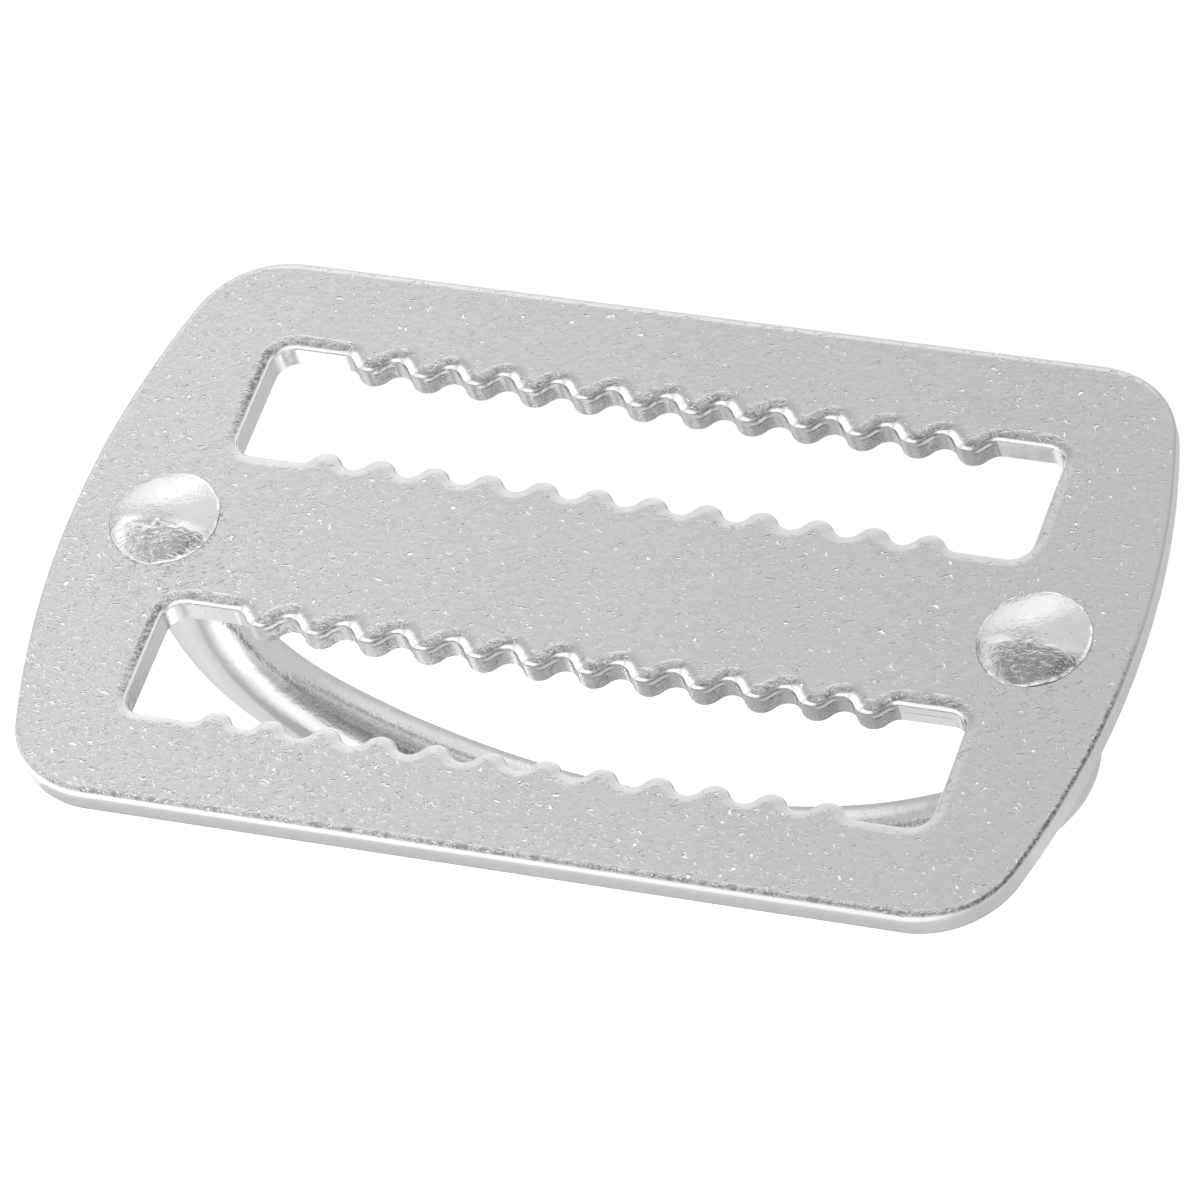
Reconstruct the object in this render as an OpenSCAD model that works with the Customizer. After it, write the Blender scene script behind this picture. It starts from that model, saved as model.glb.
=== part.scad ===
/* [Plate] */
// Length of the plate, measured between its two bowed ends
plate_length = 70; // [68:0.5:76]
// Width of the plate, measured between its two straight edges
plate_width = 42; // [40.6:1.4:47.6]
// Thickness of the sheet
plate_thickness = 2; // [1.8:0.1:2.5]
// Radius of the four corners
corner_radius = 6.3; // [4.9:0.7:7.7]
// Rounding of the outer rim, top and bottom
rim_radius = 0.7; // [0.3:0.1:0.8]

/* [Webbing slots] */
// Length of each slot, a little more than the webbing's width
slot_length = 52.7; // [50:0.1:54]
// Width of each slot between the roots of its teeth
slot_width = 8.6; // [8.2:0.1:9]
// Width of the middle bar that the webbing folds over
middle_bar = 11.6; // [10:0.1:13]
// Radius of the slots' corners
slot_corner = 1.4; // [0.8:0.1:2]
// Teeth along each long edge of a slot
tooth_count = 12; // [8:1:12]
// Distance from one tooth to the next
tooth_pitch = 3.63; // [3.4:0.01:3.8]
// Height of a tooth above its root
tooth_height = 1; // [0.6:0.1:1.2]

/* [D-ring] */
// Diameter of the ring's wire
wire_diameter = 5; // [4.6:0.1:5.6]
// Distance between the centres of the two legs
leg_spacing = 57.3; // [56.4:0.3:58.5]
// Depth of the ring's bow below the plate's top, to the middle of the wire
ring_depth = 27; // [26:0.5:32]
// Radius of the bend from each leg into the bow
bend_radius = 14.7; // [12.6:0.3:17.1]
// Diameter of the two rivet heads
head_diameter = 7.1; // [6:0.1:8]
// Height of the rivet heads
head_height = 0.9; // [0.7:0.1:1.4]
// Diameter of the necks that pass through the plate
neck_diameter = 4; // [3:0.1:4.4]

/* [Hidden] */
$fn = 96;

// Clearance between the ring and the plate, around the necks and under the heads and shoulders
clearance = 0.1;
// Length by which a cutter runs past what it cuts
past = 1;
// Length by which a cutting block reaches past any piece
reach = 150;
// Straight pieces that stand for a quarter turn of a slot's corner
corner_steps = 6;
// Points along one tooth
tooth_steps = 8;
// Share of a tooth's wave that its rounded tip takes, the rest being the root
tip_share = 0.53;

half_length = plate_length / 2;
half_width = plate_width / 2;
wire_radius = wire_diameter / 2;
half_spacing = leg_spacing / 2;

// Where an end meets a corner without a kink, 24 along from the end's centre and 7 up
corner_turn = atan2(7, 24);
corner_y = half_width - corner_radius;
end_radius = corner_radius + corner_y * 25 / 7;
end_centre = half_length - end_radius;
corner_x = end_centre + corner_y * 24 / 7;

// The bend turns until 3 across meets 4 down, and meets the wider bow there without a kink
bend_turn = atan2(4, 3);
bend_x = half_spacing - bend_radius;
bow_radius = bend_radius + bend_x * 5 / 3;
bow_centre = bow_radius - ring_depth;
bend_centre = bow_centre - bend_x * 4 / 3;

// The piece rests like an easel, on one long edge of the plate and on the ring's bow
lean_run = half_width - rim_radius;
lean_drop = ring_depth - plate_thickness + rim_radius;
lean = atan2(lean_drop, lean_run)
    + asin((wire_radius - rim_radius) / norm([lean_run, lean_drop]));
rest_height = ring_depth * cos(lean) + wire_radius;
front_reach = lean_run * cos(lean) - rim_radius * sin(lean) + rim_radius;
back_reach = ring_depth * sin(lean) + wire_radius;

// Two arcs that touch halfway up the flank make the wave of the teeth
arc_sum = (pow(tooth_pitch / 2, 2) + pow(tooth_height, 2)) / (2 * tooth_height);
tip_radius = tip_share * arc_sum;
root_radius = arc_sum - tip_radius;
flank = tooth_pitch / 2 * tip_radius / arc_sum;

// Height of a tooth's outline above its root, at a distance u from its middle
function tooth_rise(u) = abs(u) < flank
    ? tooth_height - tip_radius + sqrt(pow(tip_radius, 2) - pow(u, 2))
    : root_radius - sqrt(pow(root_radius, 2) - pow(tooth_pitch / 2 - abs(u), 2));

// A toothed edge from left to right, as places along the edge and heights above the roots
function toothed_edge() = [
    for (i = [0 : tooth_count * tooth_steps])
        let (
            turns = i / tooth_steps,
            u = (turns - floor(turns) - 1 / 2) * tooth_pitch
        )
            [(turns - tooth_count / 2) * tooth_pitch, tooth_rise(u)]
];

// Points along an arc, ends included
function arc_points(centre, radius, from, to, steps) = [
    for (k = [0 : steps])
        let (a = from + (to - from) * k / steps)
            centre + radius * [cos(a), sin(a)]
];

// Outline of one slot, centred on the origin
function slot_outline() =
    let (
        x = slot_length / 2 - slot_corner,
        y = slot_width / 2 - slot_corner,
        lower = [for (p = toothed_edge()) [p[0], p[1] - slot_width / 2]],
        upper = [for (p = toothed_edge()) [-p[0], slot_width / 2 - p[1]]]
    )
    concat(
        arc_points([-x, -y], slot_corner, 180, 270, corner_steps), lower,
        arc_points([x, -y], slot_corner, 270, 360, corner_steps),
        arc_points([x, y], slot_corner, 0, 90, corner_steps), upper,
        arc_points([-x, y], slot_corner, 90, 180, corner_steps)
    );

// Everything beyond a line through the origin that is turned by an angle
module beyond(angle) {
    rotate([0, 0, angle])
        translate([-reach, 0, -reach])
            cube([2 * reach, reach, 2 * reach]);
}

// Cross-section of the sheet from an inner line out to its rounded rim
module rim_section(outer) {
    translate([0, -plate_thickness])
        square([outer - rim_radius, plate_thickness]);
    translate([0, rim_radius - plate_thickness])
        square([outer, plate_thickness - 2 * rim_radius]);
    for (level = [-rim_radius, rim_radius - plate_thickness])
        translate([outer - rim_radius, level])
            circle(r = rim_radius);
}

// Full-width sheet between the corners
module plate_middle() {
    rotate([90, 0, 90])
        linear_extrude(height = 2 * corner_x, center = true) {
            rim_section(half_width);
            mirror([1, 0]) rim_section(half_width);
        }
}

// Wedge of the disc whose rim is the bowed end
module plate_end() {
    intersection() {
        rotate([0, 0, 180])
            rotate_extrude($fn = 360)
                rim_section(end_radius);
        beyond(-corner_turn);
        beyond(180 + corner_turn);
    }
}

// Wedge of the disc whose rim is the corner
module plate_corner() {
    intersection() {
        rotate_extrude()
            rim_section(corner_radius);
        beyond(corner_turn);
        beyond(-90);
    }
}

// Sheet before the slots and holes are cut
module blank() {
    plate_middle();
    for (turn = [0, 180]) {
        rotate([0, 0, turn]) {
            translate([end_centre, 0, 0]) plate_end();
            translate([corner_x, corner_y, 0]) plate_corner();
            mirror([0, 1, 0])
                translate([corner_x, corner_y, 0]) plate_corner();
        }
    }
}

// Cutter for one toothed slot
module webbing_slot() {
    translate([0, 0, -plate_thickness - past])
        linear_extrude(height = plate_thickness + 2 * past)
            polygon(slot_outline());
}

// Places the piece as it rests
module at_rest() {
    translate([0, (front_reach - back_reach) / 2, rest_height])
        rotate([lean, 0, 0])
            children();
}

// Pressed sheet with two toothed slots and two holes for the ring's necks
module slide_plate() {
    color([0.78, 0.78, 0.77])
        at_rest() {
            difference() {
                blank();
                for (side = [-1, 1]) {
                    translate([0, side * (middle_bar + slot_width) / 2, 0])
                        webbing_slot();
                    translate([side * half_spacing, 0, -plate_thickness - past])
                        cylinder(d = neck_diameter + 2 * clearance, h = plate_thickness + 2 * past);
                }
            }
        }
}

// Riveted end: domed head over the neck
module rivet_end() {
    dome_radius = (pow(head_diameter / 2, 2) + pow(head_height, 2)) / (2 * head_height);
    intersection() {
        translate([0, 0, clearance + head_height - dome_radius])
            sphere(r = dome_radius);
        translate([0, 0, clearance])
            cylinder(d = head_diameter + past, h = head_height + past);
    }
    translate([0, 0, -plate_thickness - 2 * clearance])
        cylinder(d = neck_diameter, h = plate_thickness + 4 * clearance);
}

// Straight leg from the shoulder under the plate to the bend
module leg() {
    translate([0, 0, bend_centre])
        cylinder(r = wire_radius, h = -plate_thickness - clearance - bend_centre);
}

// Whole ring of wire, lying flat
module hoop(radius) {
    rotate_extrude()
        translate([radius, 0])
            circle(r = wire_radius);
}

// Bend below one leg, from level down to where the bow begins
module bend() {
    intersection() {
        hoop(bend_radius);
        beyond(180);
        beyond(-bend_turn);
    }
}

// Wide bow between the two bends
module bow() {
    intersection() {
        hoop(bow_radius);
        beyond(180 - bend_turn);
        beyond(180 + bend_turn);
    }
}

// Rivet, leg and bend on the right
module ring_side() {
    translate([half_spacing, 0, 0]) {
        rivet_end();
        leg();
    }
    rotate([90, 0, 0])
        translate([bend_x, bend_centre, 0])
            bend();
}

// Bent wire ring, riveted over at both ends on top of the plate
module d_ring() {
    color([0.72, 0.73, 0.74])
        at_rest() {
            ring_side();
            mirror([1, 0, 0]) ring_side();
            rotate([90, 0, 0])
                translate([0, bow_centre, 0])
                    bow();
        }
}

slide_plate();
d_ring();
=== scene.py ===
import math

import bpy
import numpy as np
from mathutils import Matrix, Vector, noise
from mathutils.geometry import tessellate_polygon


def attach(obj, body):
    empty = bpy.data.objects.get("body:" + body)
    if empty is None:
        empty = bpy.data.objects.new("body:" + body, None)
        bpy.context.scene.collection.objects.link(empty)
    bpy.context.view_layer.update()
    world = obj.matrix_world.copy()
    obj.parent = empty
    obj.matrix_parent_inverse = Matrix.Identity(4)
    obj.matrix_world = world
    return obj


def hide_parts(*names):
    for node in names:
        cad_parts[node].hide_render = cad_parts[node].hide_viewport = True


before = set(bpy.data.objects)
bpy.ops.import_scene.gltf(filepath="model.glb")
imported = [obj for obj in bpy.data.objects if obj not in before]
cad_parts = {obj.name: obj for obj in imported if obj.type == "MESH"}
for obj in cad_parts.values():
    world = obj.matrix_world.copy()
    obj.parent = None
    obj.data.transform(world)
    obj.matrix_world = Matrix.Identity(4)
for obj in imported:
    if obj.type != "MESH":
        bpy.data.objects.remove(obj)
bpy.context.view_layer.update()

# How the buckle stands: on the lower edge of its plate and on the bow of its ring, like an easel.
# It is drawn lying flat, in millimetres, with the plate's front face up at height 0, and then
# leaned back until both touch the floor.
MM = 0.001
plate_width = 42.0
plate_thickness = 2.0
rim_radius = 0.7
wire_radius = 2.5
ring_depth = 27.0

edge_run = plate_width / 2 - rim_radius
edge_drop = ring_depth - plate_thickness + rim_radius
lean = math.atan2(edge_drop, edge_run) + math.asin(
    (wire_radius - rim_radius) / math.hypot(edge_run, edge_drop)
)
rest_height = ring_depth * math.cos(lean) + wire_radius
front_reach = edge_run * math.cos(lean) - rim_radius * math.sin(lean) + rim_radius
back_reach = ring_depth * math.sin(lean) + wire_radius


def stood_up(flat, is_direction=False):
    """Points or directions of the flat drawing, as they are on the standing buckle."""
    turn = np.array(
        [
            [1, 0, 0],
            [0, math.cos(lean), -math.sin(lean)],
            [0, math.sin(lean), math.cos(lean)],
        ]
    )
    turned = np.asarray(flat) @ turn.T
    if is_direction:
        return turned
    return (turned + [0, (front_reach - back_reach) / 2, rest_height]) * MM


# The slide plate is one stainless steel sheet, blanked and pierced in a press and then tumbled.
# Two long slots with rounded teeth grip the webbing, and two holes near the ends of the middle
# bar take the ring. The punch has rolled the slots' front rims over a little.
plate_length = 70.0
corner_radius = 6.3
slot_length = 52.7
slot_width = 8.6
middle_bar = 11.6
slot_corner = 1.4
tooth_count = 12
tooth_pitch = 3.63
tooth_height = 1.0
tip_share = 0.53
leg_spacing = 57.3
neck_hole = 2.1

# A bowed end meets its corner without a kink, 24 along from the end's centre and 7 up.
corner_turn = math.degrees(math.atan2(7, 24))
corner_y = plate_width / 2 - corner_radius
end_radius = corner_radius + corner_y * 25 / 7
end_centre = plate_length / 2 - end_radius
corner_x = end_centre + corner_y * 24 / 7
toothed_half = tooth_count * tooth_pitch / 2
slot_x = slot_length / 2 - slot_corner
slot_y = slot_width / 2 - slot_corner

# Points drawn along the curves, and millimetres between points along the straight edges.
points_per_tooth = 28
slot_corner_points = 16
slot_spacing = 0.25
end_points = 90
corner_points = 32
long_edge_spacing = 0.5
hole_points = 48


def arc(centre, radius, start, end, count, hollow=False):
    """Points along an arc, and the direction at each that points out of the metal."""
    angles = np.radians(np.linspace(start, end, count, endpoint=False))
    away = np.column_stack([np.cos(angles), np.sin(angles)])
    return np.asarray(centre) + radius * away, -away if hollow else away


def straight(start, end, away, spacing):
    """Points along a straight edge, and the direction that points out of the metal."""
    start, end = np.array(start, float), np.array(end, float)
    count = max(1, round(float(np.linalg.norm(end - start)) / spacing))
    share = np.linspace(0, 1, count, endpoint=False)[:, None]
    return start + (end - start) * share, np.repeat([away], count, axis=0)


def both_halves(runs):
    """A closed edge from its first half, which is repeated half a turn further on."""
    points = np.concatenate([run[0] for run in runs])
    away = np.concatenate([run[1] for run in runs]).astype(float)
    return np.concatenate([points, -points]), np.concatenate([away, -away])


def toothed_run():
    """The slot's lower toothed edge: tips and roots are arcs that meet on the flanks."""
    half_pitch = tooth_pitch / 2
    arc_sum = (half_pitch ** 2 + tooth_height ** 2) / (2 * tooth_height)
    tip = tip_share * arc_sum
    root = arc_sum - tip
    turns = np.arange(tooth_count * points_per_tooth) / points_per_tooth
    u = (turns - np.floor(turns) - 0.5) * tooth_pitch
    on_tip = np.abs(u) < half_pitch * tip / arc_sum
    to_root = np.sign(u) * half_pitch - u
    with np.errstate(invalid="ignore"):
        on_top = np.sqrt(tip ** 2 - u ** 2)
        in_root = np.sqrt(root ** 2 - to_root ** 2)
    rise = np.where(on_tip, tooth_height - tip + on_top, root - in_root)
    slope = np.where(on_tip, -u / on_top, -to_root / in_root)
    away = np.column_stack([-slope, np.ones_like(slope)])
    away /= np.linalg.norm(away, axis=1)[:, None]
    points = np.column_stack([(turns - tooth_count / 2) * tooth_pitch, rise - slot_width / 2])
    return points, away


slot_edge = both_halves(
    [
        toothed_run(),
        straight((toothed_half, -slot_width / 2), (slot_x, -slot_width / 2), (0, 1), slot_spacing),
        arc((slot_x, -slot_y), slot_corner, 270, 360, slot_corner_points, hollow=True),
        straight((slot_length / 2, -slot_y), (slot_length / 2, slot_y), (-1, 0), slot_spacing),
        arc((slot_x, slot_y), slot_corner, 0, 90, slot_corner_points, hollow=True),
        straight((slot_x, slot_width / 2), (toothed_half, slot_width / 2), (0, -1), slot_spacing),
    ]
)
long_edge = straight(
    (corner_x, plate_width / 2), (-corner_x, plate_width / 2), (0, 1), long_edge_spacing
)
outer_edge = both_halves(
    [
        arc((end_centre, 0), end_radius, -corner_turn, corner_turn, end_points),
        arc((corner_x, corner_y), corner_radius, corner_turn, 90, corner_points),
        long_edge,
        arc((-corner_x, corner_y), corner_radius, 90, 180 - corner_turn, corner_points),
    ]
)
hole_edge = arc((0, 0), neck_hole, 0, 360, hole_points, hollow=True)

# The rims from the front face down to the wall, as each facet's tilt in degrees and its length.
# Below them come the depths drawn on the wall, and the radius of the rim at the back.
tumbled_rim = (
    (0, 0.13), (8, 0.13), (16, 0.12), (24, 0.10), (32, 0.09),
    (42, 0.08), (54, 0.09), (66, 0.12), (78, 0.14), (86, 0.10),
)
rolled_rim = (
    (0, 0.08), (4, 0.12), (9, 0.15), (14, 0.17), (18, 0.17), (23, 0.10),
    (30, 0.03), (44, 0.07), (49, 0.08), (54, 0.05), (66, 0.04), (78, 0.04),
)
drilled_rim = ((0, 0.06), (30, 0.06), (60, 0.06))
plain_wall = (1.0,)
sheared_wall = (0.70, 0.78, 0.86, 0.94, 1.02, 1.10, 1.3)
slot_back_radius = 0.16
hole_back_radius = 0.15
back_points = 7

# Share by which press and tumbler have left the front rims wider or narrower in places.
outline_uneven = 0.05
slot_uneven = 0.12

# Millimetres by which the punch has drawn the lip over the teeth that point down.
even_lip = 0.05
lip_swing = 0.24
narrowest_lip = -0.12
widest_lip = 0.15
lip_run = 0.16

# How softly the slots' front rims follow the teeth, and how much narrower the rim is at the ends.
front_ease = 0.25
line_spread = 6
away_spread = 8
narrower_ends = 0.35


def rim_profile(front, back_radius, wall_depths):
    """Section over a rim, from the front face to the back face: inset, height and normal."""
    tilts = np.radians([tilt for tilt, _ in front])
    lengths = np.array([length for _, length in front])
    turn = np.concatenate([tilts, [math.pi / 2]])
    middles = (turn[:-1] + turn[1:]) / 2
    across = np.concatenate([[0], np.cumsum(lengths * np.cos(middles))])
    down = np.concatenate([[0], np.cumsum(lengths * np.sin(middles))])
    section = np.column_stack([across[-1] - across, -down])
    normal = np.column_stack([np.sin(turn), np.cos(turn)])
    t = np.linspace(0, math.pi / 2, back_points)
    back = np.column_stack(
        [back_radius * (1 - np.cos(t)), back_radius * (1 - np.sin(t)) - plate_thickness]
    )
    back_normal = np.column_stack([np.cos(t), -np.sin(t)])
    wall = np.array([[0, -depth] for depth in wall_depths])
    wall_normal = np.repeat([[1, 0]], len(wall), axis=0)
    return np.concatenate([section, wall, back]), np.concatenate([normal, wall_normal, back_normal])


def wander(count, seed):
    """A smooth closed run of small ups and downs, for what press and tumbler leave uneven."""
    waves = (3, 5, 9, 14, 23, 37)
    usual_peak = 1.6
    draw = np.random.default_rng(seed)
    turn = np.linspace(0, 2 * math.pi, count, endpoint=False)
    total = sum(np.sin(w * turn + draw.uniform(0, 2 * math.pi)) / math.sqrt(w) for w in waves)
    return total / usual_peak


def evened(run, spread):
    """A closed run of directions or points, averaged over its neighbours."""
    reach = int(3 * spread)
    weights = np.exp(-0.5 * (np.arange(-reach, reach + 1) / spread) ** 2)
    shifted = (w * np.roll(run, k, axis=0) for k, w in zip(range(-reach, reach + 1), weights))
    return sum(shifted) / weights.sum()


def ramp(value, start, run):
    """0 up to the start, 1 past the end of the run, and straight in between."""
    return np.clip((value - start) / run, 0, 1)


def levels(along, stops):
    """A level read off between stops, each given as its position and its level."""
    return np.interp(along, list(stops), list(stops.values()))


def rim_wear(line, height, leaning, away, in_lower_slot, is_hole, toothed, lipped):
    """What each point of a rim carries for the steel: polish and grime, both with painted shade in
    them, stipple and wall.

    Along the rim it goes by the way out of the metal, and over the rim by tilt and height."""
    to_right, to_top = away[:, 0], away[:, 1]
    facing_up = ramp(to_top, 0, 0.5) * is_hole
    facing_down = ramp(-to_top, 0, 0.5) * is_hole
    right_end = ramp(to_right, 0.3, 0.4)
    low_right = right_end * ramp(-line[:, 1], -4, 10) * (not is_hole)
    foot = ramp(-to_top, 0.3, 1) * (not is_hole)
    under = np.clip(0.75 * to_right - 1.3 * to_top, 0, 1) * is_hole
    slot_left = ramp(to_right, 0.8, 0.15) * is_hole * (1 - toothed)
    torn_flank = ramp(to_right, 0.25, 0.2) * (to_top < 0) * toothed
    shade_by_leg = in_lower_slot * (line[:, 0] < -toothed_half) * facing_down
    on_wall = levels(leaning, {60: 0, 75: 1})

    # The tumbler rubs the rims bright, but reaches less between the teeth and in the corners.
    # Painted shade makes the outline's right end and the lower slot's wall by the ring's leg
    # duller.
    if is_hole:
        shine_and_shade = levels(leaning, {25: 0, 40: 1, 75: 1, 180: 0.8})
        dull_and_shade = np.outer(0.75 * toothed, on_wall)
    else:
        shine_and_shade = levels(leaning, {25: 0, 40: 1, 60: 1, 75: 0.8, 180: 0.7})
        # Painted shade: the outline's right end is made duller on its wall.
        dull_and_shade = np.outer(right_end, levels(leaning, {60: 0.9, 75: 0.4}))
    shine_and_shade = shine_and_shade[None, :] * (1 - dull_and_shade)
    shine_and_shade = shine_and_shade * (1 - 0.85 * torn_flank[:, None])
    shine_and_shade = shine_and_shade * (1 - np.outer(0.65 * slot_left, on_wall))
    # Painted shade: the wall at the lower slot's left end, by the ring's leg, is made duller and
    # darker.
    shine_and_shade = shine_and_shade * (1 - np.outer(0.5 * shade_by_leg, on_wall))
    shine_and_shade = np.maximum(shine_and_shade, np.outer(lipped, levels(leaning, {16: 0, 26: 1, 60: 1, 75: 0})))
    torn_lip = levels(height, {-0.78: 0, -0.70: 1, -0.50: 0})
    polish_and_shade = shine_and_shade + np.outer(0.7 * torn_flank, torn_lip)

    # Painted shade darkens the crease under the rolled rims, and a band of front beside them where
    # there are no teeth. Dirt sits in the torn lines and in the gouge at each slot's left end.
    crease_shade = levels(leaning, {60: 0, 72: 1, 82: 1, 90: 0})
    torn_line = levels(height, {-0.94: 0, -0.86: 1, -0.78: 0, -0.50: 0, -0.40: 1, -0.22: 0})
    scuff_and_shade = levels(leaning, {10: 0, 22: 1, 46: 1, 60: 0})
    rim_roll_shade = levels(leaning, {3: 0, 9: 1, 20: 1, 35: 0})
    gouge = levels(leaning, {9: 0, 18: 0.8, 23: 1, 44: 0})
    deeper_above = levels(line[:, 1], {-3: 0.3, 1: 1})
    dark = np.maximum(np.outer(0.7 * under, crease_shade), np.outer(torn_flank, torn_line))
    # Painted shade: the outline's right end is darker towards its bottom, where it is also made
    # rougher.
    dark = dark + np.outer(low_right, scuff_and_shade)
    dark = dark + np.outer(0.15 * (under * (1 - toothed)), rim_roll_shade)
    dark = dark + np.outer(slot_left * deeper_above, gouge)

    # The metal is rough where it was torn and where the rims have been knocked.
    band = levels(leaning, {4: 0, 14: 1, 28: 1, 40: 0})
    torn = levels(height, {-1.9: 1.8, -0.9: 1.8, -0.7: 0})
    rough = np.outer(under, band) + np.outer(torn_flank, torn)
    rough = rough + np.outer(foot, band)
    rough = rough * (1 - lipped)[:, None]
    rough = rough + np.outer(low_right, scuff_and_shade)

    # The tumbler's dents fade out on the rims and stop short of the walls.
    smooth = np.outer(facing_up, levels(leaning, {6: 0, 20: 1}))
    wall = np.maximum(smooth, levels(leaning, {20: 0, 40: 1})[None, :])
    return {"polish_and_shade": polish_and_shade.ravel(), "grime_and_shade": np.minimum(dark, 1).ravel(),
            "stipple": rough.ravel(), "wall": wall.ravel()}


def rim_band(edge, centre, profile, uneven, seed, is_hole):
    """One rim as rows of points over its section, the way each point faces, and its wear."""
    line, away = edge
    section, tilt = profile
    around, down = len(line), len(section)
    on_front = section[:, 1] > -plate_thickness / 2
    leaning = np.degrees(np.arccos(tilt[:, 1]))
    toothed = (np.abs(line[:, 0]) < toothed_half) * (np.abs(line[:, 1]) > 2) * is_hole
    facing_up = ramp(away[:, 1], 0, 0.5) * is_hole
    facing_down = ramp(-away[:, 1], 0, 0.5) * is_hole
    lipped = ramp(-away[:, 0], 0.15, 0.25) * facing_down * toothed

    # The rim is uneven along its length, and its front follows the teeth more softly than its wall.
    grow = np.ones((around, down))
    grow[:, on_front] += uneven * wander(around, seed)[:, None]
    line_at = np.repeat(line[:, None, :], down, axis=1)
    away_at = np.repeat(away[:, None, :], down, axis=1)
    if edge is slot_edge:
        eased = levels(leaning, {0: front_ease, 30: 0})[None, :, None] * on_front[None, :, None]
        line_at = line_at + eased * (evened(line, line_spread) - line)[:, None, :]
        away_at = away_at + eased * (evened(away, away_spread) - away)[:, None, :]
        away_at /= np.linalg.norm(away_at, axis=2)[:, :, None]
    if not is_hole:
        grow[:, on_front] *= 1 - narrower_ends * ramp(np.abs(away[:, 0]), 0.2, 0.5)[:, None]
    inset = section[:, 0] * grow
    height = np.where(on_front, section[:, 1] * grow, section[:, 1])

    # The punch has drawn a wider lip on the teeth's left flanks and a narrow one on the right.
    if is_hole:
        lip = even_lip - lip_swing * away[:, 0] * toothed
        lip = np.clip(lip, narrowest_lip, widest_lip) * facing_down
        drawn = ramp(section[:, 0], 0, lip_run)[None, :] * on_front[None, :]
        inset = inset + lip[:, None] * drawn
    flat = line_at + centre - away_at * inset[:, :, None]
    points = np.concatenate([flat, height[:, :, None]], axis=2).reshape(-1, 3)

    # Rolled rims look softer than their facets, so the way they face leans out less.
    gentle = 1 - np.outer(0.6 * facing_up, levels(leaning, {20: 1, 35: 0}))
    gentle = gentle - np.outer(0.55 * facing_down, levels(leaning, {17: 1, 26: 0}))
    lip_roll = levels(leaning, {30: 0, 44: 0.3, 54: 0.5, 66: 0.69, 78: 0})
    gentle = gentle - np.outer(lipped, lip_roll)
    side = away_at * (tilt[None, :, 0] * gentle)[:, :, None]
    up = np.broadcast_to(tilt[None, :, 1, None], (around, down, 1))
    facing = np.concatenate([side, up], axis=2)
    facing /= np.linalg.norm(facing, axis=2)[:, :, None]
    wear = rim_wear(line, section[:, 1], leaning, away, centre[1] < 0, is_hole, toothed, lipped)
    return points, facing.reshape(-1, 3), wear


def new_piece(name, points, normals, faces, wear):
    """A smooth-shaded mesh object from the flat drawing, stood up.

    `wear` names what each point carries for its material, such as polish."""
    mesh = bpy.data.meshes.new(name)
    mesh.from_pydata(stood_up(points).tolist(), [], faces)
    mesh.update()
    mesh.shade_smooth()
    for kind, values in wear.items():
        mesh.attributes.new(kind, "FLOAT", "POINT").data.foreach_set("value", values)
    if normals is not None:
        mesh.normals_split_custom_set_from_vertices(stood_up(normals, True).tolist())
    piece = bpy.data.objects.new(name, mesh)
    bpy.context.scene.collection.objects.link(piece)
    return piece


def pressed_plate():
    """Rims round the outline, the slots and the holes, joined by the flat front and back."""
    to_slot = (middle_bar + slot_width) / 2
    to_hole = leg_spacing / 2
    outer_rim = rim_profile(tumbled_rim, rim_radius, plain_wall)
    slot_rim = rim_profile(rolled_rim, slot_back_radius, sheared_wall)
    hole_rim = rim_profile(drilled_rim, hole_back_radius, plain_wall)
    rims = (
        (outer_edge, (0, 0), outer_rim, outline_uneven, 11, False),
        (slot_edge, (0, to_slot), slot_rim, slot_uneven, 12, True),
        (slot_edge, (0, -to_slot), slot_rim, slot_uneven, 13, True),
        (hole_edge, (to_hole, 0), hole_rim, 0, 14, True),
        (hole_edge, (-to_hole, 0), hole_rim, 0, 15, True),
    )
    points, normals, wears, faces = [], [], [], []
    front_loops, back_loops = [], []
    for edge, centre, profile, uneven, seed, is_hole in rims:
        first = sum(len(rows) for rows in points)
        around, down = len(edge[0]), len(profile[0])
        band, facing, wear = rim_band(edge, centre, profile, uneven, seed, is_hole)
        points.append(band)
        normals.append(facing)
        wears.append(wear)
        starts = [first + i * down for i in range(around)]
        for this, following in zip(starts, starts[1:] + starts[:1]):
            for k in range(down - 1):
                quad = [this + k, this + k + 1, following + k + 1, following + k]
                faces.append(quad[::-1] if is_hole else quad)
        front_loops.append(starts)
        back_loops.append([start + down - 1 for start in starts])
    points, normals = np.concatenate(points), np.concatenate(normals)
    for loops, facing in ((front_loops, 1), (back_loops, -1)):
        order = [v for loop in loops for v in loop]
        flat = [[Vector((*points[v, :2], 0)) for v in loop] for loop in loops]
        for triangle in tessellate_polygon(flat):
            a, b, c = (order[v] for v in triangle)
            turn = np.cross(points[b, :2] - points[a, :2], points[c, :2] - points[a, :2])
            faces.append([a, b, c] if turn * facing > 0 else [a, c, b])
    wear = {kind: np.concatenate([each[kind] for each in wears]) for kind in wears[0]}
    return new_piece("slide_plate_steel", points, normals, faces, wear)


def add_node(tree, kind, **settings):
    """A shader node with its settings and inputs given by name, and outputs linked in place."""
    node = tree.nodes.new(kind)
    for key, value in settings.items():
        socket = node.inputs.get(key.replace("_", " "))
        if socket is None:
            setattr(node, key, value)
        elif isinstance(value, bpy.types.NodeSocket):
            tree.links.new(value, socket)
        else:
            socket.default_value = value
    return node


def maths(tree, operation, *values):
    """The result of one sum of the shader, from numbers and outputs."""
    node = tree.nodes.new("ShaderNodeMath")
    node.operation = operation
    for socket, value in zip(node.inputs, values):
        if isinstance(value, bpy.types.NodeSocket):
            tree.links.new(value, socket)
        else:
            socket.default_value = value
    return node.outputs[0]


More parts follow.
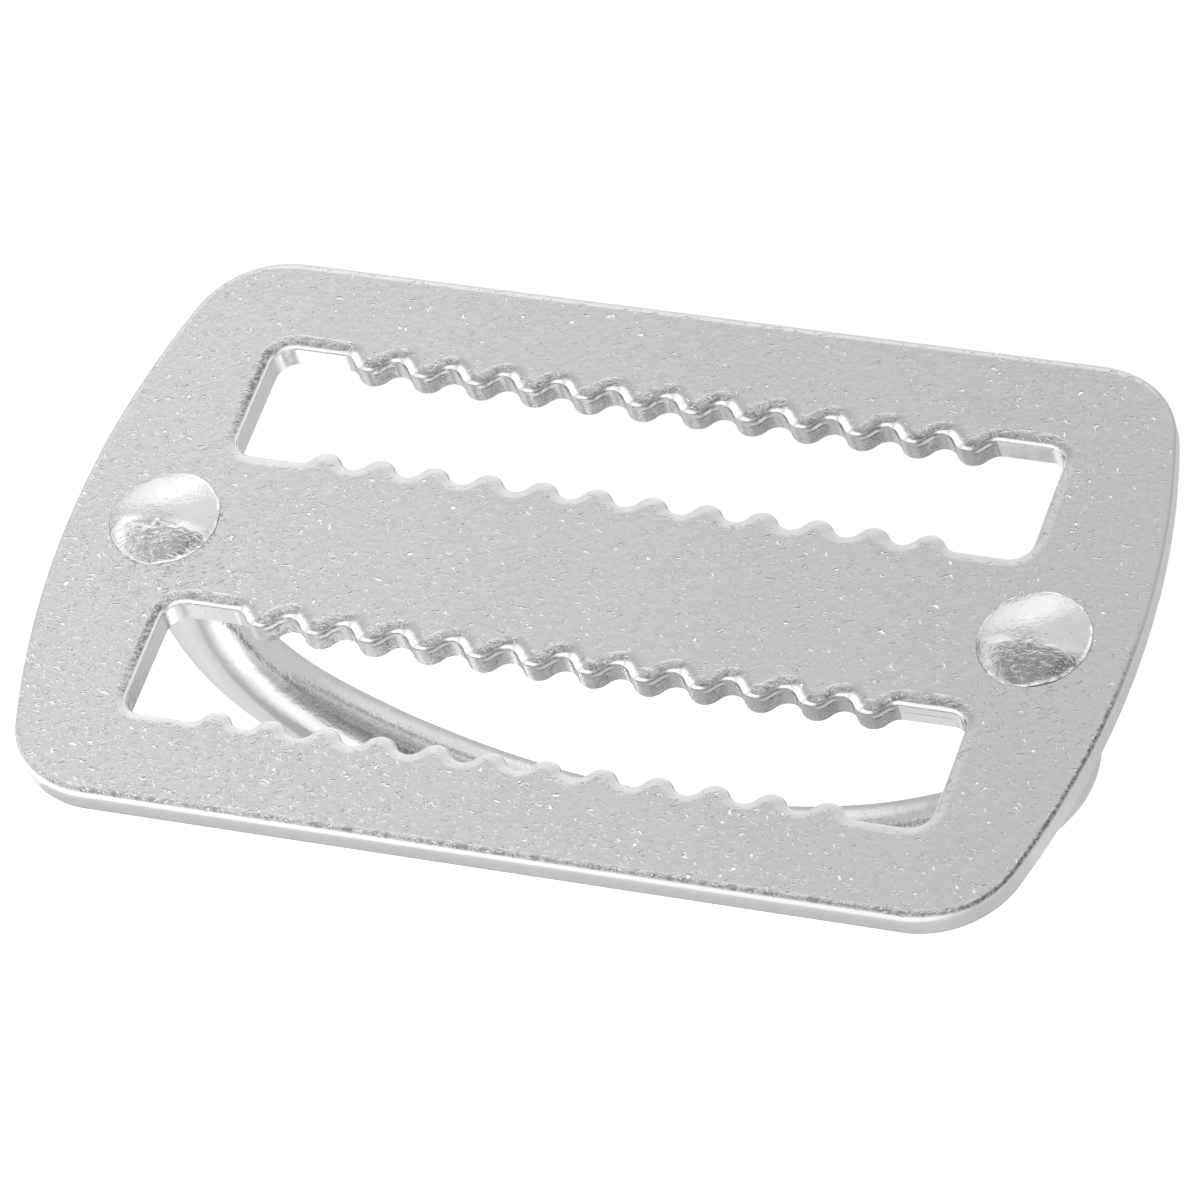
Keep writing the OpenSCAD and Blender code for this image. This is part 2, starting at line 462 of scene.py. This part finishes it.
def fade(tree, value, low, high, to_low=0.0, to_high=1.0):
    """A value carried smoothly from one range to another, and held at its ends."""
    return add_node(
        tree, "ShaderNodeMapRange", interpolation_type="SMOOTHSTEP", Value=value,
        From_Min=low, From_Max=high, To_Min=to_low, To_Max=to_high,
    ).outputs[0]


def worn_as(tree, kind):
    """What the piece's points carry under that name."""
    return add_node(tree, "ShaderNodeAttribute", attribute_name=kind).outputs["Fac"]


def sheet_millimetres(tree, turn=0.0, stretch=(1, 1, 1)):
    """The buckle's own flat millimetres as a texture position, turned and stretched."""
    place = add_node(tree, "ShaderNodeTexCoord").outputs["Object"]
    flat = add_node(
        tree, "ShaderNodeMapping", Vector=place, Rotation=(-lean, 0, 0),
        Scale=(1 / MM, 1 / MM, 1 / MM),
    ).outputs[0]
    return add_node(
        tree, "ShaderNodeMapping", Vector=flat, Rotation=(0, 0, turn), Scale=stretch
    ).outputs[0]


def grain(tree, position, scale, detail=2.0, distortion=0.0):
    """Soft noise with about `scale` features to the millimetre."""
    return add_node(
        tree, "ShaderNodeTexNoise", Vector=position, Scale=scale, Detail=detail,
        Distortion=distortion,
    ).outputs[0]


def curled(tree, position, reach):
    """A position bent about by soft noise, so that straight marks on it come out hooked."""
    bend = add_node(tree, "ShaderNodeTexNoise", Vector=position, Scale=1.4, Detail=1.0)
    centred = add_node(tree, "ShaderNodeVectorMath", operation="SUBTRACT")
    tree.links.new(bend.outputs["Color"], centred.inputs[0])
    centred.inputs[1].default_value = (0.5, 0.5, 0.5)
    moved = add_node(tree, "ShaderNodeVectorMath", operation="MULTIPLY_ADD")
    tree.links.new(centred.outputs[0], moved.inputs[0])
    moved.inputs[1].default_value = (reach, reach, reach)
    tree.links.new(position, moved.inputs[2])
    return moved.outputs[0]


def marks_at(tree, position, turn, length, width, share):
    """Dents of the tumbler's stones: 1 at the bottom of a mark and 0 outside all marks.

    Each lies in a cell of that length and width in millimetres, in that share of the cells."""
    mark_reach = 0.34
    turned = add_node(tree, "ShaderNodeMapping", Vector=position, Rotation=(0, 0, turn)).outputs[0]
    laid = add_node(
        tree, "ShaderNodeMapping", Vector=turned, Scale=(1 / length, 1 / width, 1 / width)
    ).outputs[0]
    cells = add_node(tree, "ShaderNodeTexVoronoi", voronoi_dimensions="2D", Vector=laid, Scale=1.0)
    inside = fade(tree, cells.outputs["Distance"], mark_reach, 0.0)
    pick = add_node(tree, "ShaderNodeSeparateColor", Color=cells.outputs["Color"])
    chosen = maths(tree, "LESS_THAN", pick.outputs[0], share)
    return maths(tree, "MULTIPLY", inside, chosen)


def bare_steel(name, tint):
    """A bare metal material with its edge tint, its node tree and its shader."""
    material = bpy.data.materials.new(name)
    material.use_nodes = True
    shader = material.node_tree.nodes["Principled BSDF"]
    shader.inputs["Metallic"].default_value = 1.0
    shader.inputs["Specular Tint"].default_value = (tint, tint, tint, 1)
    return material, material.node_tree, shader


def finish_steel(tree, shader, tone, rough, height, depth):
    """Gives the shader its grey tone, its roughness and its relief of that depth."""
    bump = add_node(tree, "ShaderNodeBump", Strength=1.0, Distance=depth * MM, Height=height)
    grey = add_node(tree, "ShaderNodeCombineColor", Red=tone, Green=tone, Blue=tone)
    tree.links.new(bump.outputs[0], shader.inputs["Normal"])
    tree.links.new(grey.outputs[0], shader.inputs["Base Color"])
    tree.links.new(rough, shader.inputs["Roughness"])


# Finish of the plate: its greys, its roughness and its relief in millimetres. The stones' marks
# are given by their turn, the length and width of their cells, and the share of cells with one.
satin_tones = (0.47, 0.49)
bright_tone = 0.84
satin_roughness = (0.16, 0.22)
satin_relief = 0.04
stone_marks = (
    (0.1, 1.2, 0.16, 0.36),
    (0.7, 0.9, 0.16, 0.27),
    (-0.5, 0.9, 0.16, 0.27),
    (0.3, 0.3, 0.19, 0.25),
)


def tumbled_steel():
    """Satin stainless steel: soft peel, hooked dents, nicks and short scratches from tumbling, with
    painted shade across the face and along the rims.
    """
    material, tree, shader = bare_steel("tumbled_satin_steel", 0.8)
    place = sheet_millimetres(tree)
    bent = curled(tree, place, 0.8)
    sides = add_node(tree, "ShaderNodeSeparateXYZ", Vector=place)
    up_right = maths(tree, "MULTIPLY_ADD", sides.outputs[0], 0.6, sides.outputs[1])
    to_right = maths(tree, "MULTIPLY_ADD", sides.outputs[1], -0.5, up_right)
    polish_and_shade, grime_and_shade = worn_as(tree, "polish_and_shade"), worn_as(tree, "grime_and_shade")
    stipple, wall = worn_as(tree, "stipple"), worn_as(tree, "wall")

    wear = fade(tree, up_right, -36.0, 20.0, 1.25, 0.3)
    strokes = None
    for turn, length, width, share in stone_marks:
        marked = maths(tree, "MULTIPLY", wear, share)
        layer = marks_at(tree, bent, turn, length, width, marked)
        strokes = layer if strokes is None else maths(tree, "MAXIMUM", strokes, layer)
    strokes = maths(tree, "MULTIPLY", strokes, maths(tree, "SUBTRACT", 1.0, wall))

    flatness = maths(tree, "SUBTRACT", 1.0, maths(tree, "MULTIPLY", wall, 0.75))
    peel = maths(tree, "MULTIPLY", grain(tree, place, 2.6, 1.0, 0.3), 0.35)
    patches = fade(tree, grain(tree, place, 1.5), 0.35, 0.6, 0.6, 2.8)
    torn = maths(tree, "MULTIPLY", stipple, patches)
    speckle = maths(tree, "MULTIPLY", grain(tree, place, 8.0), torn)
    height = maths(tree, "SUBTRACT", peel, strokes)
    height = maths(tree, "ADD", maths(tree, "MULTIPLY", height, flatness), speckle)

    satin = fade(tree, grain(tree, place, 1.4, 3.0), 0.3, 0.7, *satin_tones)
    # Painted shade: the face's grey is made lighter towards the lower left and darker towards the
    # upper right.
    satin = maths(tree, "MULTIPLY", satin, fade(tree, to_right, -32.0, 32.0, 1.18, 0.885))
    bright = maths(tree, "MAXIMUM", polish_and_shade, fade(tree, strokes, 0.33, 0.83, 0.0, 0.85))
    tone = fade(tree, bright, 0.0, 1.0, satin, bright_tone)
    # Grime, and painted shade from the rims, darken the grey in clots.
    clots = fade(tree, grain(tree, place, 4.0), 0.35, 0.65, 0.35, 1.0)
    dirt_and_shade = maths(tree, "MULTIPLY", grime_and_shade, clots)
    tone = maths(tree, "MULTIPLY", tone, fade(tree, dirt_and_shade, 0.0, 1.0, 1.0, 0.4))

    rough = fade(tree, grain(tree, place, 1.7, 3.0), 0.3, 0.7, *satin_roughness)
    rough = maths(tree, "SUBTRACT", rough, maths(tree, "MULTIPLY", strokes, 0.06))
    matt = maths(tree, "MULTIPLY", wall, maths(tree, "SUBTRACT", 1.0, polish_and_shade))
    rough = maths(tree, "MULTIPLY_ADD", matt, 0.12, rough)
    finish_steel(tree, shader, tone, rough, height, satin_relief)
    return material


slide_plate = pressed_plate()
slide_plate.data.materials.append(tumbled_steel())
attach(slide_plate, "root")
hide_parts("slide_plate")

# The ring is one length of thick polished stainless wire, bent to a D behind the plate. Its two
# ends are turned down to necks, pushed through the plate and hammered over to domed heads, so
# wire, necks and heads are one piece of metal.
bend_radius = 14.7
head_radius = 3.55
head_height = 0.9
head_lift = 0.1
head_seat = 0.005
neck_radius = 2.0

dome_radius = (head_radius ** 2 + head_height ** 2) / (2 * head_height)
leg_x = leg_spacing / 2

# The bend turns until 3 across meets 4 down, and meets the wider bow there without a kink.
bend_turn = math.degrees(math.atan2(4, 3))
bend_x = leg_x - bend_radius
bow_radius = bend_radius + bend_x * 5 / 3
bow_z = bow_radius - ring_depth
bend_z = bow_z - bend_x * 4 / 3

# Heights and radii from the head's edge down its neck and over the shoulder to the full wire.
turned_end = (
    (0.14, 3.475), (0.12, 3.505), (0.095, 3.53), (0.07, 3.545), (0.04, 3.55), (head_seat, 3.545),
    (head_seat, 2.6), (head_seat, 2.06), (0.0, neck_radius), (-0.5, neck_radius),
    (-1.0, neck_radius), (-1.5, neck_radius), (-plate_thickness, neck_radius), (-2.03, 2.04),
    (-2.04, 2.3), (-2.06, 2.4), (-2.11, 2.47), (-2.2, wire_radius),
)
leg_top = -2.5
leg_step = -0.4
crown_tilt = 0.03
crown_rise = 0.002
dome_inset = 0.10
head_foot = 0.01
wire_uneven = 0.018
dome_rows = 44
bend_rows = 36
bow_rows = 50
points_around = 96

# What the hammer left on each head: a lower part that is flatter and more dented from this far
# below the head's middle, a small nib on it, and a rim that is out of round and rubbed bright.
beaten_from = 0.9
beaten_blur = 0.13
beaten_drop = 0.06
dent_above = 0.008
dent_below = 0.022
nib_at = Vector((0.1, -0.95, 0))
nib_width = 0.16
nib_height = 0.06
largest_wobble = 0.008
rubbed_from = 0.93
rubbed_run = 0.05


def ring_stations():
    """Right half of the wire from the head's top to the middle of the bow.

    Each station is x, z, the outward direction in that plane, and the radius there."""
    top = head_lift + head_height
    edge_tilt = math.asin((head_radius - dome_inset) / dome_radius)
    stations = []
    for tilt in np.linspace(crown_tilt, edge_tilt, dome_rows):
        height = top - dome_radius * (1 - math.cos(tilt))
        stations.append((leg_x, height, 1, 0, dome_radius * math.sin(tilt)))
    for height, radius in turned_end:
        stations.append((leg_x, height, 1, 0, radius))
    for height in np.arange(leg_top, bend_z, leg_step):
        stations.append((leg_x, height, 1, 0, wire_radius))
    for centre_x, centre_z, radius, start, end, count in (
        (bend_x, bend_z, bend_radius, 0, -bend_turn, bend_rows),
        (0, bow_z, bow_radius, -bend_turn, -90, bow_rows),
    ):
        for angle in np.radians(np.linspace(start, end, count, endpoint=False)):
            c, s = math.cos(angle), math.sin(angle)
            stations.append((centre_x + radius * c, centre_z + radius * s, c, s, wire_radius))
    return stations


def hammer(point):
    """Moves a point of a head to where the hammer left it, and says how beaten and rubbed it is."""
    x_sign = math.copysign(1, point[0])
    local = Vector((point[0] - x_sign * leg_x, point[1], 0))
    reach = local.length / head_radius
    angle = math.atan2(local.y, local.x)
    on_circle = Vector((math.cos(angle), math.sin(angle), x_sign))
    edge_wobble = 0.012 * math.sin(3 * angle + 2 * x_sign)
    edge_wobble += 0.03 * noise.fractal(on_circle * 2.6, 1.0, 2.0, 3)
    point[:2] += np.array(local[:2]) * min(largest_wobble, edge_wobble) * reach ** 3
    beaten = 1 / (1 + math.exp((local.y + beaten_from - 0.06 * local.x) / beaten_blur))
    if point[2] > head_lift:
        chord = math.sqrt(max(0.01, head_radius ** 2 - local.y ** 2))
        flat_x = local.x * min(1, abs(local.x) / chord) ** (1.3 * beaten)
        span = min(head_radius, math.hypot(flat_x, local.y))
        struck_height = math.sqrt(dome_radius ** 2 - span ** 2)
        point[2] += struck_height - math.sqrt(dome_radius ** 2 - local.length_squared)
    point[2] -= beaten_drop * beaten
    dent = noise.fractal(Vector(point) * 1.3, 1.0, 2.0, 3) * (dent_above + dent_below * beaten)
    nib = nib_height * math.exp(-(((local - nib_at).length / nib_width) ** 2))
    keep = max(0.0, 1 - reach ** 6)
    point[2] = max(head_seat, point[2] + dent * keep + nib)
    return beaten, min(1, max(0, (reach - rubbed_from) / rubbed_run))


def riveted_ring():
    """The whole wire as one skin, with dents from the hammer on its heads."""
    right = ring_stations()
    middle = (0, bow_z - bow_radius, 0, -1, wire_radius)
    left = [(-x, z, -nx, nz, radius) for x, z, nx, nz, radius in reversed(right)]
    stations = np.array(right + [middle] + left)
    count, around = len(stations), points_around
    turn = np.linspace(0, 2 * math.pi, around, endpoint=False)
    centre = np.column_stack([stations[:, 0], np.zeros(count), stations[:, 1]])
    out = np.column_stack([stations[:, 2], np.zeros(count), stations[:, 3]])
    side = np.cos(turn)[None, :, None] * out[:, None, :] + np.sin(turn)[None, :, None] * [0, 1, 0]
    points = (centre[:, None, :] + side * stations[:, 4][:, None, None]).reshape(-1, 3)
    hammered, rubbed = np.zeros(len(points) + 2), np.zeros(len(points) + 2)
    for i, (point, away) in enumerate(zip(points, side.reshape(-1, 3))):
        if point[2] > head_foot:
            hammered[i], rubbed[i] = hammer(point)
        elif point[2] < leg_top:
            point += away * (wire_uneven * noise.fractal(Vector(point) * 0.35, 1.0, 2.0, 2))
    faces = []
    for k in range(count - 1):
        for i in range(around):
            j = (i + 1) % around
            this, following = k * around, (k + 1) * around
            faces.append([this + i, following + i, following + j, this + j])
    last = (count - 1) * around
    crowns = [points[row:row + around].mean(axis=0) + [0, 0, crown_rise] for row in (0, last)]
    points = np.concatenate([points, crowns])
    right_crown, left_crown = len(points) - 2, len(points) - 1
    for i in range(around):
        j = (i + 1) % around
        faces.append([right_crown, i, j])
        faces.append([left_crown, last + j, last + i])
    return new_piece("d_ring_steel", points, None, faces, {"hammered": hammered, "rubbed": rubbed})


# Finish of the ring: its greys, its roughness and its relief in millimetres.
wire_tones = (0.58, 0.61)
rubbed_tone = 0.85
wire_roughness = (0.12, 0.17)
wire_relief = 0.03


def polished_wire():
    """Brighter steel: drawn wire, polished and lightly knocked about, with beaten heads, and
    painted light and shade across it.
    """
    material, tree, shader = bare_steel("polished_wire_steel", 0.75)
    place = sheet_millimetres(tree)
    across = add_node(tree, "ShaderNodeSeparateXYZ", Vector=place).outputs[0]
    hammered, rubbed = worn_as(tree, "hammered"), worn_as(tree, "rubbed")

    peel = grain(tree, place, 2.4, 2.0, 0.3)
    fine = grain(tree, place, 5.5, 1.0)
    nick = marks_at(tree, curled(tree, place, 0.6), 0.4, 0.5, 0.25, 0.10)
    blows = grain(tree, sheet_millimetres(tree, 0.6, (1.8, 3.8, 3.8)), 1.0, 2.0, 0.4)
    beaten = maths(tree, "MULTIPLY", blows, maths(tree, "MULTIPLY", hammered, 2.8))
    peel = maths(tree, "MULTIPLY", peel, 0.8)
    height = maths(tree, "ADD", peel, maths(tree, "MULTIPLY", fine, 0.5))
    height = maths(tree, "ADD", height, beaten)
    height = maths(tree, "SUBTRACT", height, maths(tree, "MULTIPLY", nick, 0.5))

    wire_tone = fade(tree, grain(tree, place, 0.7, 3.0), 0.3, 0.7, *wire_tones)
    # Painted shade and light: the wire's grey darkens towards the right, and the heads' beaten
    # lower parts are painted lighter, the left head much more than the right.
    wire_tone = maths(tree, "MULTIPLY", wire_tone, fade(tree, across, -28.0, 28.0, 0.98, 0.86))
    painted_light_on_left = fade(tree, across, -28.0, 28.0, 0.34, 0.03)
    painted_light_on_left = maths(tree, "MULTIPLY_ADD", hammered, painted_light_on_left, 1.0)
    wire_tone = maths(tree, "MULTIPLY", wire_tone, painted_light_on_left)
    patchy = fade(tree, grain(tree, place, 0.8), 0.42, 0.58, 0.1, 1.0)
    tone = fade(tree, maths(tree, "MULTIPLY", rubbed, patchy), 0.0, 1.0, wire_tone, rubbed_tone)
    rough = fade(tree, grain(tree, place, 1.2, 3.0), 0.3, 0.7, *wire_roughness)
    finish_steel(tree, shader, tone, rough, height, wire_relief)
    return material


d_ring = riveted_ring()
d_ring.data.materials.append(polished_wire())
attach(d_ring, "root")
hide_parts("d_ring")

# The floor is a wide sheet of matt white paper, lit so evenly that it has no horizon. Its own
# glow makes it white to the camera, and dimmer where the steel reflects it.
floor_reach = 6.0
paper_tone = 0.45
glow_in_steel = 0.38
glow_in_view = 1.0

floor_mesh = bpy.data.meshes.new("floor_paper")
floor_mesh.from_pydata(
    [(-floor_reach, -floor_reach, 0), (floor_reach, -floor_reach, 0),
     (floor_reach, floor_reach, 0), (-floor_reach, floor_reach, 0)], [], [(0, 1, 2, 3)]
)
floor = bpy.data.objects.new("floor_paper", floor_mesh)
bpy.context.scene.collection.objects.link(floor)
paper = bpy.data.materials.new("white_paper")
paper.use_nodes = True
paper_shader = paper.node_tree.nodes["Principled BSDF"]
paper_shader.inputs["Base Color"].default_value = (paper_tone, paper_tone, paper_tone, 1)
paper_shader.inputs["Roughness"].default_value = 0.9
paper_shader.inputs["Specular IOR Level"].default_value = 0.0
paper_shader.inputs["Emission Color"].default_value = (1, 1, 1, 1)
seen = add_node(paper.node_tree, "ShaderNodeLightPath").outputs["Is Camera Ray"]
paper.node_tree.links.new(fade(paper.node_tree, seen, 0.0, 1.0, glow_in_steel, glow_in_view),
                          paper_shader.inputs["Emission Strength"])
floor_mesh.materials.append(paper)

# The light is a white tent. It is brightest overhead and on the left, both high up and low down,
# and darkest where the camera and the dim room look in, in front and on the right. Each patch is
# its azimuth and elevation, where it starts and stops to fade, in degrees, and its strength.
tent_glow = 0.95
tent_patches = (
    (0, 90, 18, 45, 0.27),
    (-115, 58, 14, 34, 0.6),
    (-5, 27, 10, 38, -0.46),
    (40, 6, 13, 40, -0.58),
    (-65, 18, 8, 26, 0.35),
)


def toward(azimuth, elevation):
    """Direction at degrees to the right of straight ahead, seen from the front, and up."""
    a, e = math.radians(azimuth), math.radians(elevation)
    return (math.sin(a) * math.cos(e), -math.cos(a) * math.cos(e), math.sin(e))


world = bpy.data.worlds.new("studio_tent")
bpy.context.scene.world = world
world.use_nodes = True
tent = world.node_tree
looking = add_node(tent, "ShaderNodeTexCoord").outputs["Generated"]
glow = tent_glow
for azimuth, elevation, inner, outer, amount in tent_patches:
    facing = add_node(tent, "ShaderNodeVectorMath", operation="DOT_PRODUCT")
    tent.links.new(looking, facing.inputs[0])
    facing.inputs[1].default_value = toward(azimuth, elevation)
    part = fade(tent, facing.outputs["Value"], math.cos(math.radians(outer)),
                math.cos(math.radians(inner)), 0.0, amount)
    glow = maths(tent, "ADD", part, glow)
cloth = tent.nodes["Background"]
cloth.inputs["Color"].default_value = (1, 1, 1, 1)
tent.links.new(glow, cloth.inputs["Strength"])
backdrop = add_node(tent, "ShaderNodeBackground", Color=(1, 1, 1, 1), Strength=1.0)
ray = add_node(tent, "ShaderNodeLightPath")
mixed = add_node(tent, "ShaderNodeMixShader", Fac=ray.outputs["Is Camera Ray"])
tent.links.new(cloth.outputs[0], mixed.inputs[1])
tent.links.new(backdrop.outputs[0], mixed.inputs[2])
tent.links.new(mixed.outputs[0], tent.nodes["World Output"].inputs["Surface"])

# Three lamps light only the paper: a small soft one on the left, a low one in front that reaches
# under the plate's edge, and a narrow spot from behind for the pool of light within the ring.
left_lamp = bpy.data.lights.new("left_lamp", "AREA")
left_lamp.size = 0.03
left_lamp.energy = 0.06
left_lamp.spread = math.radians(50)
front_lamp = bpy.data.lights.new("front_lamp", "SPOT")
front_lamp.spot_size = math.radians(16)
front_lamp.spot_blend = 0.5
front_lamp.shadow_soft_size = 0.01
front_lamp.energy = 3
pool_lamp = bpy.data.lights.new("pool_lamp", "SPOT")
pool_lamp.spot_size = math.radians(1.35)
pool_lamp.spot_blend = 0.6
pool_lamp.shadow_soft_size = 0.005
pool_lamp.energy = 65
for lamp, place, aim_at in (
    (left_lamp, (-0.13, 0.03, 0.28), (-0.03, 0, 0)),
    (front_lamp, (-0.10, -0.34, 0.14), (0, -0.02, 0)),
    (pool_lamp, (0.303, 0.352, 0.37), (-0.014, 0.003, 0)),
):
    stand = bpy.data.objects.new(lamp.name, lamp)
    stand.location = place
    stand.rotation_euler = (Vector(aim_at) - Vector(place)).to_track_quat("-Z", "Y").to_euler()
    stand.visible_camera = False
    stand.visible_glossy = False
    bpy.context.scene.collection.objects.link(stand)

# The camera is low, about a finger's width above the floor, in front and to the right, and a
# little rolled, as in the photograph.
camera_aim = Vector((0.00064, -0.00615, 0.01678))
camera_distance = 0.5785
camera_azimuth = math.radians(21.16)
camera_elevation = math.radians(0.64)
camera_roll = math.radians(7.74)
camera_data = bpy.data.cameras.new("camera")
camera_data.sensor_width = 36.0
camera_data.lens = 285.2
camera_data.clip_start = 0.01
camera_data.clip_end = 50.0
camera = bpy.data.objects.new("camera", camera_data)
back = Vector(
    (
        math.sin(camera_azimuth) * math.cos(camera_elevation),
        -math.cos(camera_azimuth) * math.cos(camera_elevation),
        math.sin(camera_elevation),
    )
)
level_right = Vector((0, 0, 1)).cross(back).normalized()
level_up = back.cross(level_right)
right = level_right * math.cos(camera_roll) + level_up * math.sin(camera_roll)
up = back.cross(right)
camera.matrix_world = Matrix.Translation(camera_aim + back * camera_distance) @ Matrix(
    (right, up, back)
).transposed().to_4x4()
bpy.context.scene.collection.objects.link(camera)
bpy.context.scene.camera = camera
bpy.context.scene.view_settings.view_transform = "Standard"
